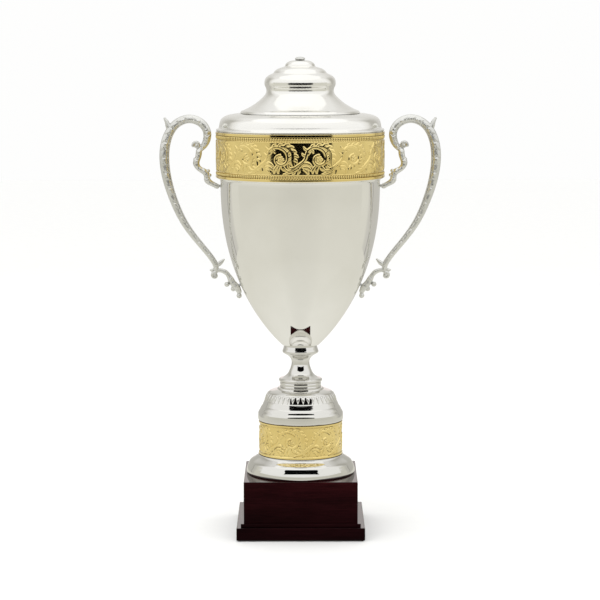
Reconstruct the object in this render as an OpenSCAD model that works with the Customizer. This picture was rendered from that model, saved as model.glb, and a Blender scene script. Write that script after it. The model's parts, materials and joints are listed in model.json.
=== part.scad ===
// Lidded cup trophy on a two-tier wooden base.
// +Z is up, the origin is the centre of the base's underside, and the handles lie along X.

/* [Wooden base] */
// Side of the lower square tier
tier_w = 142; // [136:1:160]
// Height of the lower tier
tier_h = 14; // [12:1:18]
// Side of the upper square block
block_w = 126; // [124:1:132]
// Height of the upper block
block_h = 50; // [40:1:70]
// Side of the narrow step at the block's foot
step_w = 132.6; // [132.2:0.2:135.8]
// Height of the narrow step
step_h = 4; // [2:0.5:8]
// Thickness of the felt sheet under the base
felt_t = 1; // [1:0.5:2]

/* [Plinth and stem] */
// Outer radius of the spun foot
foot_r = 61; // [58:0.5:61.5]
// Height of the spun foot
foot_h = 21.5; // [18:0.5:26]
// Outer radius of the drum that carries the lower gold band
drum_r = 46; // [44:0.5:47]
// Height of the drum
drum_h = 38; // [30:1:50]
// Height of the plinth's domed top
dome_h = 37.5; // [36:0.5:40]
// Height of the turned stem
stem_h = 47.5; // [46:0.5:52]
// Count of tongues on the plinth's domed top
tongue_count = 42; // [36:2:60]

/* [Bowl] */
// Outer radius of the bowl below its rim band
bowl_r = 88.8; // [86:0.2:90]
// Height from the bowl's seat to the foot of its rim
bowl_h = 182.5; // [175:0.5:190]
// Height of the wide rim that carries the upper gold band
rim_h = 57; // [54:1:60]
// Outer radius of the wide rim
rim_r = 92.8; // [92.6:0.1:93.4]
// Thickness of the spun metal
wall = 1; // [0.8:0.1:1.2]

/* [Gold bands] */
// Thickness of an embossed band
band_t = 1.1; // [0.9:0.1:1.4]
// Height of the upper band
rim_band_h = 50.6; // [46:0.2:51]

/* [Lid] */
// Radius of the lid's flange
lid_r = 93.2; // [92:0.2:94]
// Height of the lid's lower shell
lid_h = 19.6; // [18:0.2:22]
// Height of the stepped dome on the lid
knob_h = 58.6; // [55:0.2:62]
// Depth of the locating ring inside the mouth
lid_ring_h = 10; // [6:1:16]

/* [Fasteners] */
// Radius of the threaded tie rod
rod_r = 3; // [2.5:0.5:4]
// Radius of the handle screws
screw_r = 1.5; // [1.25:0.25:1.75]
// Radius of the finial's stud
stud_r = 2; // [1.5:0.25:2.5]

/* [Hidden] */
$fn = 96;

// Colours
silver = [0.86, 0.85, 0.82];
gold = [0.88, 0.74, 0.38];
cherry = [0.20, 0.05, 0.06];
steel = [0.62, 0.62, 0.64];
felt = [0.08, 0.08, 0.08];

// Heights of the stack, from the table up
tier_z = felt_t + tier_h;
block_z = tier_z + block_h;
foot_z = block_z + foot_h;
drum_z = foot_z + drum_h;
dome_z = drum_z + dome_h;
seat_z = dome_z + stem_h;
neck_z = seat_z + bowl_h;
mouth_z = neck_z + rim_h;
deck_z = mouth_z + lid_h;
crown_z = deck_z + knob_h;

// Clearances and small sizes
gap = 0.05;
hole_gap = 0.3;
lid_gap = 1;
counterbore_r = 12;
counterbore_h = 7;
washer_t = 1.5;
nut_t = 5;
nut_af = 10;
big_washer_r = 15;
base_screw_r = 1.75;
base_screw_at = 42;
base_screw_len = 26;
plug_len = 5.5;
lug_gap = 0.15;
lug_len = 6;
lug_washer_t = 0.8;
lug_washer_gap = 0.3;
lug_screw_head_h = 2;
stud_washer_gap = 0.1;
stud_washer_t = 1;
stud_nut_t = 3.2;
stud_tail = 4;

// Points along a cubic curve from a to d, with b and c as its handles
function curve(a, b, c, d, n = 8) = [
    for (i = [0 : n]) let (t = i / n, u = 1 - t)
        u * u * u * a + 3 * u * u * t * b + 3 * u * t * t * c + t * t * t * d
];

// The same points in reverse order
function backwards(p) = [for (i = [len(p) - 1 : -1 : 0]) p[i]];

// Unit vector along the profile at point i
function along(p, i) =
    let (a = p[max(i - 1, 0)], b = p[min(i + 1, len(p) - 1)], d = b - a)
        d / norm(d);

// The profile's inner skin, t away on the side of the axis
function inner(p, t) = [
    for (i = [0 : len(p) - 1]) let (d = along(p, i)) [max(p[i][0] - t * d[1], 0), p[i][1] + t * d[0]]
];

// A spun sheet: the outline turned about the axis with thickness t
module spun(outline, t = wall) {
    rotate_extrude() polygon(concat(outline, backwards(inner(outline, t))));
}

// A flat ring or tube
module ring(r_out, r_in, h) {
    difference() {
        cylinder(r = r_out, h = h);
        translate([0, 0, -1]) cylinder(r = r_in, h = h + 2);
    }
}

// A hexagon nut, af across its flats
module hex_nut(af, bore_r, h) {
    difference() {
        cylinder(r = af / 2 / cos(30), h = h, $fn = 6);
        translate([0, 0, -1]) cylinder(r = bore_r, h = h + 2);
    }
}

// ---- Wooden base ----

module base_felt() {
    color(felt) translate([-tier_w / 2 + 2, -tier_w / 2 + 2, 0])
        cube([tier_w - 4, tier_w - 4, felt_t]);
}

module base_tier() {
    color(cherry) translate([0, 0, felt_t]) difference() {
        translate([-tier_w / 2, -tier_w / 2, 0]) cube([tier_w, tier_w, tier_h]);
        translate([0, 0, -1]) cylinder(r = counterbore_r, h = counterbore_h + 1);
        cylinder(r = rod_r + hole_gap, h = tier_h + 1);
        base_screw_places() {
            translate([0, 0, -1]) cylinder(r = 2 * base_screw_r + gap, h = 3 + gap);
            cylinder(r = base_screw_r + gap, h = tier_h + 1);
        }
    }
}

module base_block() {
    color(cherry) translate([0, 0, tier_z]) difference() {
        union() {
            translate([-block_w / 2, -block_w / 2, 0]) cube([block_w, block_w, block_h]);
            translate([-step_w / 2, -step_w / 2, 0]) cube([step_w, step_w, step_h]);
        }
        translate([0, 0, -1]) cylinder(r = rod_r + hole_gap, h = block_h + 2);
        base_screw_places() translate([0, 0, -1])
            cylinder(r = base_screw_r + gap, h = base_screw_len - tier_h + 2);
    }
}

module base_screw_places() {
    for (x = [-1, 1], y = [-1, 1])
        translate([x * base_screw_at, y * base_screw_at, 0]) children();
}

module base_screws() {
    color(steel) translate([0, 0, felt_t]) base_screw_places() {
        cylinder(r = 2 * base_screw_r, h = 2);
        cylinder(r = base_screw_r, h = base_screw_len);
    }
}

// ---- Tie rod, from the counterbore to the inside of the bowl ----

rod_low_z = felt_t + 0.3;
rod_top_z = seat_z + wall + washer_t + nut_t + 3;

module tie_rod() {
    color(steel) translate([0, 0, rod_low_z]) cylinder(r = rod_r, h = rod_top_z - rod_low_z);
}

module rod_washer_low() {
    color(steel) translate([0, 0, felt_t + counterbore_h - washer_t])
        ring(10, rod_r + gap, washer_t);
}

module rod_nut_low() {
    color(steel) translate([0, 0, felt_t + counterbore_h - washer_t - nut_t])
        hex_nut(nut_af, rod_r + gap, nut_t);
}

module rod_washer_top() {
    color(steel) translate([0, 0, seat_z + wall]) ring(big_washer_r, rod_r + gap, washer_t);
}

module rod_nut_top() {
    color(steel) translate([0, 0, seat_z + wall + washer_t])
        hex_nut(nut_af, rod_r + gap, nut_t);
}

// ---- Plinth ----

// Spun foot: a rolled lower edge, a swelling side and a flat deck
foot_profile = concat(
    [[foot_r - 1.2, 0]],
    curve([foot_r - 0.5, 0.6], [foot_r, 1.6], [foot_r + 0.1, 3], [foot_r - 0.2, 5], 4),
    curve([foot_r - 0.5, 6.2], [foot_r - 2.4, 12.6], [drum_r + 8.5, 17], [drum_r + 1.8, foot_h]),
    [[drum_r - 2, foot_h], [rod_r + hole_gap, foot_h]]
);

module foot_ring() {
    color(silver) translate([0, 0, block_z]) spun(foot_profile);
}

module plinth_drum() {
    color(silver) translate([0, 0, foot_z]) ring(drum_r, drum_r - 1.2, drum_h);
}

module plinth_band() {
    color(gold) translate([0, 0, foot_z + 0.1]) ring(drum_r + gap + band_t, drum_r + gap, drum_h - 0.2);
}

// Domed top: a rolled edge, a sloping band for the tongues, a rounded crown and a flat deck
slope_low = [drum_r - 5.8, 23];
slope_high = [drum_r - 9, 30.6];
dome_profile = concat(
    [[drum_r - 4, 0]],
    curve([drum_r + 0.2, 0], [drum_r + 2.4, 1.5], [drum_r + 2.2, 8.2], [drum_r + 0.8, 10.8]),
    curve([drum_r - 0.1, 12.5], [drum_r - 1.1, 14.6], [drum_r - 2.1, 16.1], [drum_r - 2.9, 17.2], 4),
    [[drum_r - 4.8, 21.2], slope_low, slope_high],
    curve([drum_r - 9.6, 32.2], [drum_r - 12.2, 34.2], [drum_r - 17.5, 35.6], [drum_r - 21, dome_h]),
    [[drum_r - 22.5, dome_h], [rod_r + hole_gap, dome_h]]
);

module plinth_dome() {
    color(silver) translate([0, 0, drum_z]) {
        spun(dome_profile);
        tongue_ring();
    }
}

// A ring of small raised tongues round the dome's sloping band
module tongue_ring() {
    middle = (slope_low + slope_high) / 2;
    lean = atan2(slope_low[0] - slope_high[0], slope_high[1] - slope_low[1]);
    for (i = [0 : tongue_count - 1]) rotate([0, 0, i * 360 / tongue_count])
        translate([middle[0] - tongue_sunk, 0, middle[1]]) rotate([0, -lean, 0]) tongue();
}

// One tongue, pointed at its lower end
tongue_sunk = 0.3;
module tongue() {
    rotate([0, 90, 0]) linear_extrude(tongue_sunk + 0.7)
        polygon([[-3.6, -1.9], [-3.6, 1.9], [0.4, 1.3], [3.6, 0], [0.4, -1.3]]);
}

// ---- Stem ----

stem_profile = concat(
    [[rod_r + hole_gap, 0], [22.9, 0], [22.7, 5]],
    curve([22.9, 5.6], [24.4, 6], [25, 8.8], [23, 10.2], 6),
    curve([21.6, 10.6], [13.6, 12.6], [12.6, 19], [10, 27], 10),
    curve([9.9, 28], [10, 32], [13, 35.4], [17.5, 37.6], 8),
    curve([18, 37.9], [20.6, 38.6], [20.4, 40.6], [19.6, 42.4], 6),
    [[18.5, 46.2], [18.5, stem_h], [rod_r + hole_gap, stem_h]]
);

module stem() {
    color(silver) translate([0, 0, dome_z]) rotate_extrude() polygon(stem_profile);
}

// ---- Bowl ----

// The bowl's side is a superellipse that would come to its tip below the seat
tip_drop = 13.5;
side_bulge = 2.2;
side_round = 0.77;

// Outer radius of the bowl at height z above its seat
function bowl_rad(z) =
    let (t = (z + tip_drop) / (bowl_h + tip_drop))
        bowl_r * pow(1 - pow(max(1 - t, 0), side_bulge), side_round);

// How fast the bowl widens at height z
function bowl_slope(z) = (bowl_rad(z + 0.5) - bowl_rad(z - 0.5));

side_steps = 26;
bowl_profile = concat(
    [[rod_r + hole_gap, 0], [bowl_rad(0) - 1.5, 0]],
    [for (i = [0 : side_steps]) let (z = 0.5 + (bowl_h - 0.5) * pow(i / side_steps, 1.4)) [bowl_rad(z), z]],
    curve([bowl_r + 0.2, bowl_h + 1.5], [bowl_r + 0.6, bowl_h + 4], [rim_r - 0.6, bowl_h + 3.5],
        [rim_r, bowl_h + 5.8], 5),
    [[rim_r, bowl_h + rim_h - gap]]
);

// Where the handles meet the bowl, above its seat
upper_lug_z = 178.5;
lower_lug_z = 68;

// Puts its children on the bowl's wall at height z, with +Z along the wall's normal
module on_wall(z) {
    translate([bowl_rad(z), 0, seat_z + z]) rotate([0, 90 + atan(bowl_slope(z)), 0]) children();
}

module each_lug() {
    for (side = [0, 180], z = [lower_lug_z, upper_lug_z]) rotate([0, 0, side]) on_wall(z) children();
}

module bowl() {
    color(silver) difference() {
        translate([0, 0, seat_z]) rotate_extrude()
            polygon(concat(bowl_profile, backwards(inner(bowl_profile, wall))));
        each_lug() translate([0, 0, -4]) cylinder(r = screw_r + 0.2, h = 8, $fn = 32);
    }
}

module rim_band() {
    color(gold) translate([0, 0, mouth_z - 0.4 - rim_band_h])
        ring(rim_r + gap + band_t, rim_r + gap, rim_band_h);
}

// ---- Handles ----

// Centre line of the arm, from its foot over the top and down to the tip of the curl, as [x, z, half width]
arm_line = [
    [94.8, 291, 2.6], [94.2, 297, 3.0], [98, 305.5, 3.2], [106, 316, 3.3], [117.5, 330, 3.5],
    [129.5, 347.3, 3.9], [140, 369.6, 4.4], [147.5, 393, 5.0], [151, 418, 5.5], [147.3, 441, 5.3],
    [138.5, 454, 4.6], [124, 460, 4.0], [112, 456.5, 4.0], [104.6, 447.5, 4.4], [104.4, 437, 4.2],
    [108, 430.3, 3.2], [112.5, 425.6, 2.4]
];
// Centre line of the link from the curl to the upper lug
link_line = [
    [114, 430, 2.6], [113.6, 423, 2.8], [114.2, 418.5, 2.7], [116.3, 414, 2.7], [114.6, 409.4, 2.6],
    [110.8, 405.4, 2.6], [105.6, 403.6, 2.8], [103.4, 399, 3.0], [103.8, 394.4, 2.8], [99.4, 390.6, 2.6],
    [94.8, 388.2, 2.6], [91.5, 386.6, 2.8]
];
// Centre line of the leafy branch from the arm's foot to the lower lug
branch_line = [
    [93.6, 293.2, 2.4], [88, 293, 2.4], [83.8, 291.2, 2.5], [80.4, 287.6, 2.8], [78, 283.4, 3.2],
    [75.4, 279, 3.8], [71.8, 274.8, 3.8], [69, 270.4, 3.2], [67.6, 266.8, 2.8]
];
// Small scrolls and leaf lobes, as [x, z, radius]
scrolls = [
    [115.2, 431.2, 3.8], [95.6, 287.8, 3.6], [81.6, 277.8, 3], [75.6, 272.6, 2.4], [68.4, 264.6, 3.2]
];
// Pointed leaf tips, as [x, z, x, z] from root to tip
spurs = [[145, 449, 149.6, 459.6], [92.4, 299, 87.2, 303.6], [96, 294, 100.2, 293.4]];

// Smooth path through the points, n steps between each pair
function smooth(p, n = 3) = concat([
    for (i = [0 : len(p) - 2], k = [0 : n - 1])
        let (a = p[max(i - 1, 0)], b = p[i], c = p[i + 1], d = p[min(i + 2, len(p) - 1)], t = k / n)
            0.5 * (2 * b + t * (c - a) + t * t * (2 * a - 5 * b + 4 * c - d)
                + t * t * t * (3 * b - a - 3 * c + d))
], [p[len(p) - 1]]);

// A bar of oval section along the line, with the given depth over width
module bar(line, depth = 1) {
    path = smooth(line);
    sides = 10;
    rings = len(path);
    points = [
        for (i = [0 : rings - 1])
            let (a = path[max(i - 1, 0)], b = path[min(i + 1, rings - 1)],
                d = [b[0] - a[0], b[1] - a[1]] / norm([b[0] - a[0], b[1] - a[1]]), w = path[i][2])
                for (k = [0 : sides - 1]) let (c = w * cos(360 * k / sides))
                    [path[i][0] - d[1] * c, w * depth * sin(360 * k / sides), path[i][1] + d[0] * c]
    ];
    skin = [
        for (i = [0 : rings - 2], k = [0 : sides - 1])
            let (m = (k + 1) % sides) each [
                [i * sides + k, i * sides + m, (i + 1) * sides + k],
                [i * sides + m, (i + 1) * sides + m, (i + 1) * sides + k]
            ]
    ];
    ends = [[for (k = [sides - 1 : -1 : 0]) k], [for (k = [0 : sides - 1]) (rings - 1) * sides + k]];
    polyhedron(points, concat(skin, ends));
}

module handle() {
    difference() {
        union() {
            bar(arm_line, 0.95);
            bar(link_line, 1.1);
            bar(branch_line, 1.1);
            for (s = scrolls) translate([s[0], 3.2, s[1]]) rotate([90, 0, 0])
                cylinder(r = s[2], h = 6.4, $fn = 16);
            for (s = spurs) hull() {
                translate([s[0], -1.6, s[1]]) rotate([-90, 0, 0]) cylinder(r = 2, h = 3.2, $fn = 12);
                translate([s[2], -0.6, s[3]]) rotate([-90, 0, 0]) cylinder(r = 0.9, h = 1.2, $fn = 12);
            }
            on_wall(upper_lug_z) translate([0, 0, lug_gap]) cylinder(r = 3, h = lug_len, $fn = 24);
            on_wall(lower_lug_z) translate([0, 0, lug_gap]) cylinder(r = 4, h = lug_len, $fn = 24);
        }
        for (z = [lower_lug_z, upper_lug_z]) on_wall(z) translate([0, 0, -1])
            cylinder(r = screw_r + 0.1, h = plug_len + 1, $fn = 24);
    }
}

module handle_right() {
    color(silver) handle();
}

module handle_left() {
    color(silver) rotate([0, 0, 180]) handle();
}

// Screws through the bowl's wall into the handles' lugs
lug_washer_z = -wall - lug_washer_t - lug_washer_gap;
lug_screw_z = lug_washer_z - lug_screw_head_h;

module handle_washers() {
    color(steel) each_lug() translate([0, 0, lug_washer_z]) ring(4, screw_r + gap, lug_washer_t);
}

module handle_screws() {
    color(steel) each_lug() translate([0, 0, lug_screw_z]) {
        cylinder(r = 2.8, h = lug_screw_head_h);
        cylinder(r = screw_r, h = plug_len - 0.8 - lug_screw_z);
    }
}

// ---- Lid ----

lid_profile = concat(
    [[rim_r - 4.5, 0], [lid_r - 0.6, 0]],
    curve([lid_r - 0.2, 0.5], [lid_r + 0.1, 1], [lid_r + 0.1, 1.8], [lid_r - 0.5, 2.5], 3),
    curve([lid_r - 2.8, 3.1], [lid_r - 3.1, 9], [lid_r - 5, 14.6], [lid_r - 10.4, 16]),
    [[lid_r - 18, 17.8], [lid_r - 25.5, lid_h], [stud_r + hole_gap, lid_h]]
);

module lid_shell() {
    color(silver) translate([0, 0, mouth_z]) spun(lid_profile);
}

// Locating ring, which drops into the mouth
module lid_ring() {
    color(silver) translate([0, 0, mouth_z - lid_ring_h])
        ring(rim_r - wall - lid_gap, rim_r - 2 * wall - lid_gap, lid_ring_h);
}

// Stepped dome: a beaded foot, a flare, a swelling and two steps up to the finial
dome_foot_r = 66.5;
knob_profile = concat(
    [[dome_foot_r - 1.2, 0], [dome_foot_r, 0.3], [dome_foot_r - 0.3, 1.3], [dome_foot_r - 1.8, 3]],
    curve([dome_foot_r - 3.2, 3.4], [54, 6.8], [38, 13.4], [37.3, 24.4], 10),
    curve([37.3, 25.4], [37.4, 27.6], [39.4, 29.4], [39.4, 33.4], 6),
    curve([39.4, 34.2], [39.4, 38], [38, 41], [32.4, 43.2], 6),
    curve([29.6, 44.2], [28.9, 47], [25, 49.2], [20, 50.4], 6),
    curve([16.9, 51.2], [16.4, 55], [12.5, 57.6], [8, 58.2], 6),
    [[6.5, knob_h - 0.2], [stud_r + hole_gap, knob_h]]
);

module lid_dome() {
    color(silver) translate([0, 0, deck_z]) spun(knob_profile, 0.9);
}

// The stud's washer and nut under the lid's deck, and the stud's lower end
stud_washer_z = deck_z - wall - stud_washer_gap - stud_washer_t;
stud_nut_z = stud_washer_z - stud_nut_t;
stud_low_z = stud_nut_z - stud_tail;

// Turned finial with its stud, which clamps the dome to the lid
module finial() {
    color(silver) translate([0, 0, crown_z + 0.1]) {
        rotate_extrude()
            polygon([[0, 0], [4.6, 0], [5.6, 0.9], [5.6, 1.7], [4.8, 2.7], [2.8, 3.4], [0, 3.6]]);
        translate([0, 0, stud_low_z - crown_z]) cylinder(r = stud_r, h = crown_z - stud_low_z + 0.5);
    }
}

module finial_washer() {
    color(steel) translate([0, 0, stud_washer_z]) ring(7, stud_r + gap, stud_washer_t);
}

module finial_nut() {
    color(steel) translate([0, 0, stud_nut_z]) hex_nut(7, stud_r + gap, stud_nut_t);
}

base_felt();
base_tier();
base_block();
base_screws();
rod_washer_low();
rod_nut_low();
tie_rod();
foot_ring();
plinth_drum();
plinth_band();
plinth_dome();
stem();
bowl();
rod_washer_top();
rod_nut_top();
rim_band();
handle_left();
handle_right();
handle_screws();
handle_washers();
lid_shell();
lid_ring();
lid_dome();
finial();
finial_washer();
finial_nut();
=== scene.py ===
"""Lidded cup trophy: a silver-plated cup with embossed gold bands on a lacquered wooden base."""

import json
import math

import bmesh
import bpy
import numpy as np
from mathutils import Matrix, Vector


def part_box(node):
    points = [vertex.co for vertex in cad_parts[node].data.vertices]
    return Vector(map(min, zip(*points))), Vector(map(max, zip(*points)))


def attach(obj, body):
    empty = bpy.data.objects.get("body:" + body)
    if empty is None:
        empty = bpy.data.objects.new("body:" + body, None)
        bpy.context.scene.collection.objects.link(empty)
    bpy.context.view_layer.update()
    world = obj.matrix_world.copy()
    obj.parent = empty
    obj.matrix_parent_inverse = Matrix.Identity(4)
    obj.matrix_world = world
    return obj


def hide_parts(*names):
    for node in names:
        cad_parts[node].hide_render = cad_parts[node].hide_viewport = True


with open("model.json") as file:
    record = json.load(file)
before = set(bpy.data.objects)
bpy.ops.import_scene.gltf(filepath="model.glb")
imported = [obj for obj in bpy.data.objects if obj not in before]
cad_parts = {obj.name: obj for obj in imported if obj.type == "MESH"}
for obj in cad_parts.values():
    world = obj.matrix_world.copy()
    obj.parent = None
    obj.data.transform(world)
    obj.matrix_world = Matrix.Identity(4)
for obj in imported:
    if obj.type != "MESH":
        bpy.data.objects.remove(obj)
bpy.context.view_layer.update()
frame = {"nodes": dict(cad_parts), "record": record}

MM = 0.001
SLOTS = {part["node"]: part["material_slot"] for part in frame["record"]["subparts"]}


# ---- Measures, in mm: from the CAD frame, or the same as in the CAD part ----

def levels(node):
    """Lowest and highest z of a CAD node."""
    low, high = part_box(node)
    return low.z / MM, high.z / MM


def reach(node):
    """How far a CAD node reaches along +X: the outer radius of a turned one."""
    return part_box(node)[1].x / MM


TIER_LOW, TIER_TOP = levels("base_tier")
BLOCK_TOP = levels("base_block")[1]
DRUM_TOP = levels("plinth_drum")[1]
DOME_TOP = levels("plinth_dome")[1]
SEAT = levels("stem")[1]
MOUTH = levels("lid_shell")[0]
DECK, CROWN = levels("lid_dome")
TIER_SIDE = 2 * reach("base_tier")
STEP_SIDE = 2 * reach("base_block")
RIM_R = reach("bowl")
ROD_HOLE_R = reach("tie_rod") + 0.3
STUD_HOLE_R = 2.3

# The narrow step at the upper block's foot: its height, and how far it stands out past the block.
STEP_H = 4.0
STEP_OUT = 3.3

# Thickness of the spun sheet, of the lid's thinner dome and of the gold bands.
SHEET = 1.0
THIN_SHEET = 0.9
BAND_T = 1.1


# ---- Curves ----

def spline(points, steps=10):
    """A natural cubic spline through the points, spaced by the distances between them."""
    p = np.asarray(points, float)
    if len(p) < 3:
        return p
    gap = np.linalg.norm(np.diff(p[:, :2], axis=0), axis=1)
    count = len(p)
    left = np.eye(count)
    right = np.zeros_like(p)
    for i in range(1, count - 1):
        left[i, i - 1:i + 2] = gap[i - 1], 2 * (gap[i - 1] + gap[i]), gap[i]
        right[i] = 6 * ((p[i + 1] - p[i]) / gap[i] - (p[i] - p[i - 1]) / gap[i - 1])
    bend = np.linalg.solve(left, right)
    made = []
    for i, g in enumerate(gap):
        for a in np.linspace(0, g, steps, endpoint=False):
            b = g - a
            curve = (bend[i] * b ** 3 + bend[i + 1] * a ** 3) / (6 * g)
            from_start = (p[i] / g - bend[i] * g / 6) * b
            from_stop = (p[i + 1] / g - bend[i + 1] * g / 6) * a
            made.append(curve + from_start + from_stop)
    made.append(p[-1])
    return np.array(made)


def outline(*runs, base=0.0):
    """One outline of (radius, height) from smooth runs of points, with a crease where two runs meet."""
    pieces = [spline(run) for run in runs]
    joined = np.concatenate([piece[:-1] for piece in pieces[:-1]] + [pieces[-1]])
    return joined + (0.0, base)


def inward(line, thick):
    """The outline moved by the sheet's thickness towards the axis, and never past it."""
    way = np.gradient(line, axis=0)
    way /= np.linalg.norm(way, axis=1)[:, None]
    moved = line + thick * np.stack([-way[:, 1], way[:, 0]], 1)
    moved[:, 0] = np.maximum(moved[:, 0], 0)
    return moved


def sheet(line, thick=SHEET):
    """A closed outline of spun sheet: the outer skin, then the inner one back again."""
    return np.concatenate([line, inward(line, thick)[::-1]])


# ---- Meshes ----

# Points closer together than this become one, in metres.
MERGE_M = 1e-6


def show(name, data):
    """A new object in the scene."""
    obj = bpy.data.objects.new(name, data)
    bpy.context.scene.collection.objects.link(obj)
    return obj


def add_mesh(name, points_mm, faces, crease_deg=38):
    """A smooth-shaded mesh object from points in mm."""
    mesh = bpy.data.meshes.new(name)
    mesh.from_pydata((np.asarray(points_mm, float) * MM).tolist(), [], faces)
    work = bmesh.new()
    work.from_mesh(mesh)
    bmesh.ops.remove_doubles(work, verts=work.verts, dist=MERGE_M)
    bmesh.ops.recalc_face_normals(work, faces=work.faces)
    work.to_mesh(mesh)
    work.free()
    mesh.shade_smooth()
    mesh.set_sharp_from_angle(angle=math.radians(crease_deg))
    return show(name, mesh)


def grid_faces(rows, columns, wrap_rows, wrap_columns):
    """Quads of a grid of points that is closed on itself in either way."""
    row_starts = np.arange(rows if wrap_rows else rows - 1)
    column_starts = np.arange(columns if wrap_columns else columns - 1)
    i, k = np.meshgrid(row_starts, column_starts, indexing="ij")
    j, m = (i + 1) % rows, (k + 1) % columns
    quads = np.stack([i * columns + k, i * columns + m, j * columns + m, j * columns + k], -1)
    return quads.reshape(-1, 4).tolist()


def bar_faces(rows, around):
    """Faces of a closed bar made of rings of points: its side and its two ends."""
    first_end = list(range(around - 1, -1, -1))
    last_end = [(rows - 1) * around + k for k in range(around)]
    return grid_faces(rows, around, False, True) + [first_end, last_end]


def equal_turns(count):
    """Angles of the given number of equal steps round a circle."""
    return np.arange(count) * 2 * math.pi / count


def round_axis(r, angle, z):
    """List of points from grids of radii, angles and heights round the cup's axis."""
    grids = np.broadcast_arrays(r * np.cos(angle), r * np.sin(angle), z)
    return np.stack(grids, -1).reshape(-1, 3)


def lathe(name, line, sides=240, crease_deg=38):
    """A turned piece: the closed outline turned about the cup's axis."""
    points = round_axis(line[:, 0, None], equal_turns(sides), line[:, 1, None])
    return add_mesh(name, points, grid_faces(len(line), sides, True, True), crease_deg)


def place(obj, body, material, node):
    """Finishes a piece: its material, the body it rides on and the CAD node it stands for."""
    obj.data.materials.clear()
    obj.data.materials.append(material)
    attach(obj, body)
    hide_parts(node)


# ---- Materials ----

WHITE = (1, 1, 1)


class Nodes:
    """A new material, with small helpers that add and link its shader nodes."""

    def __init__(self, name):
        """Starts the material with its position in the object's own frame."""
        self.material = bpy.data.materials.new(name)
        self.material.use_nodes = True
        self.tree = self.material.node_tree
        self.shader = self.tree.nodes["Principled BSDF"]
        self.position = self.add("ShaderNodeTexCoord").outputs["Object"]

    def fill(self, socket, value):
        """Links an input to another node's output, or sets it to a plain value."""
        if isinstance(value, bpy.types.NodeSocket):
            self.tree.links.new(value, socket)
        else:
            socket.default_value = value

    def add(self, kind, inputs=(), **settings):
        """A new node with its settings and inputs."""
        node = self.tree.nodes.new(kind)
        for key, value in settings.items():
            setattr(node, key, value)
        for key, value in dict(inputs).items():
            self.fill(node.inputs[key], value)
        return node

    def set(self, **values):
        """Fills the shader's own inputs, named with _ in place of each space."""
        for key, value in values.items():
            self.fill(self.shader.inputs[key.replace("_", " ")], value)

    def stretched(self, scale):
        """The position, scaled by a different amount along each axis."""
        return self.add("ShaderNodeMapping", {"Vector": self.position, "Scale": scale}).outputs["Vector"]

    def height(self):
        """The position's height above the table."""
        return self.add("ShaderNodeSeparateXYZ", {"Vector": self.position}).outputs["Z"]

    def from_axis(self):
        """The position without its height, and its distance from the cup's axis."""
        level = self.add("ShaderNodeVectorMath", {0: self.position, 1: (1, 1, 0)}, operation="MULTIPLY")
        flat = level.outputs["Vector"]
        return flat, self.add("ShaderNodeVectorMath", {0: flat}, operation="LENGTH").outputs["Value"]

    def turned(self):
        """Distance from the axis and height, as a place for marks that run round the piece."""
        inputs = {"X": self.from_axis()[1], "Y": self.height()}
        return self.add("ShaderNodeCombineXYZ", inputs).outputs["Vector"]

    def noise(self, vector, scale, detail=3.0, rough=0.5):
        """Cloudy noise from 0 to 1 at a place."""
        inputs = {"Vector": vector, "Scale": scale, "Detail": detail, "Roughness": rough}
        return self.add("ShaderNodeTexNoise", inputs).outputs["Fac"]

    def scaled(self, value, low, high, to_low=0.0, to_high=1.0):
        """Number that goes from to_low to to_high as the value goes from low to high."""
        inputs = {"Value": value, "From Min": low, "From Max": high, "To Min": to_low, "To Max": to_high}
        return self.add("ShaderNodeMapRange", inputs).outputs["Result"]

    def uneven(self, noise, to_low, to_high):
        """Number that goes from one value to another with a noise, most of which is 0.3 to 0.7."""
        return self.scaled(noise, 0.3, 0.7, to_low, to_high)

    def blend(self, factor, *stops):
        """Colour ramp through (place, colour) stops."""
        ramp = self.add("ShaderNodeValToRGB", {"Fac": factor})
        elements = ramp.color_ramp.elements
        elements.remove(elements[1])
        elements[0].position = stops[0][0]
        elements[0].color = (*stops[0][1], 1)
        for at, colour in stops[1:]:
            elements.new(at).color = (*colour, 1)
        return ramp.outputs["Color"]

    def mix(self, factor, first, second, blend_type="MIX"):
        """Two colours mixed by a factor."""
        inputs = {"Factor": factor, "A": first, "B": second}
        return self.add("ShaderNodeMix", inputs, data_type="RGBA", blend_type=blend_type).outputs["Result"]

    def times(self, first, second):
        """The product of two colours."""
        return self.mix(1.0, first, second, "MULTIPLY")

    def tarnished_and_shaded(self, colour, reach_mm, tint):
        """The colour, darkened in hollows as narrow as the reach: tarnish, with painted shade where less
        light gets in.
        """
        # Painted shade: ambient occlusion darkens the colour in hollows, on top of the tarnish there.
        sky = self.add("ShaderNodeAmbientOcclusion", {"Distance": reach_mm * MM}, samples=8).outputs["AO"]
        return self.times(colour, self.blend(sky, (0.45, tint), (0.93, WHITE)))

    def bump(self, height, depth_mm, strength=1.0, under=None):
        """Surface normal raised by a height, on top of another normal if there is one."""
        inputs = {"Height": height, "Distance": depth_mm * MM, "Strength": strength}
        if under is not None:
            inputs["Normal"] = under
        return self.add("ShaderNodeBump", inputs).outputs["Normal"]


def metal(name, light, dark, rough, spun=0.0, hammered=0.0, hammer_scale=900.0, tarnish_and_shade=None):
    """Plated metal with a cloudy tint, uneven polish and marks of its making.

    rough is the lowest and the highest roughness; the last argument is the reach in mm and the tint of the
    darkening in hollows, which is tarnish and painted shade.
    """
    n = Nodes(name)
    cloud = n.noise(n.position, 22, 4)
    smear = n.noise(n.stretched((60, 60, 140)), 1, 6, 0.62)
    normal = n.bump(n.noise(n.turned(), 1500, 2), 0.02, spun)
    if hammered:
        normal = n.bump(n.noise(n.position, hammer_scale, 3, 0.6), 0.25, hammered, under=normal)
    colour = n.blend(cloud, (0.32, dark), (0.62, light))
    if tarnish_and_shade:
        colour = n.tarnished_and_shaded(colour, *tarnish_and_shade)
    n.set(Metallic=1.0, Base_Color=colour, Roughness=n.uneven(smear, *rough), Normal=normal)
    return n.material


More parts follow.
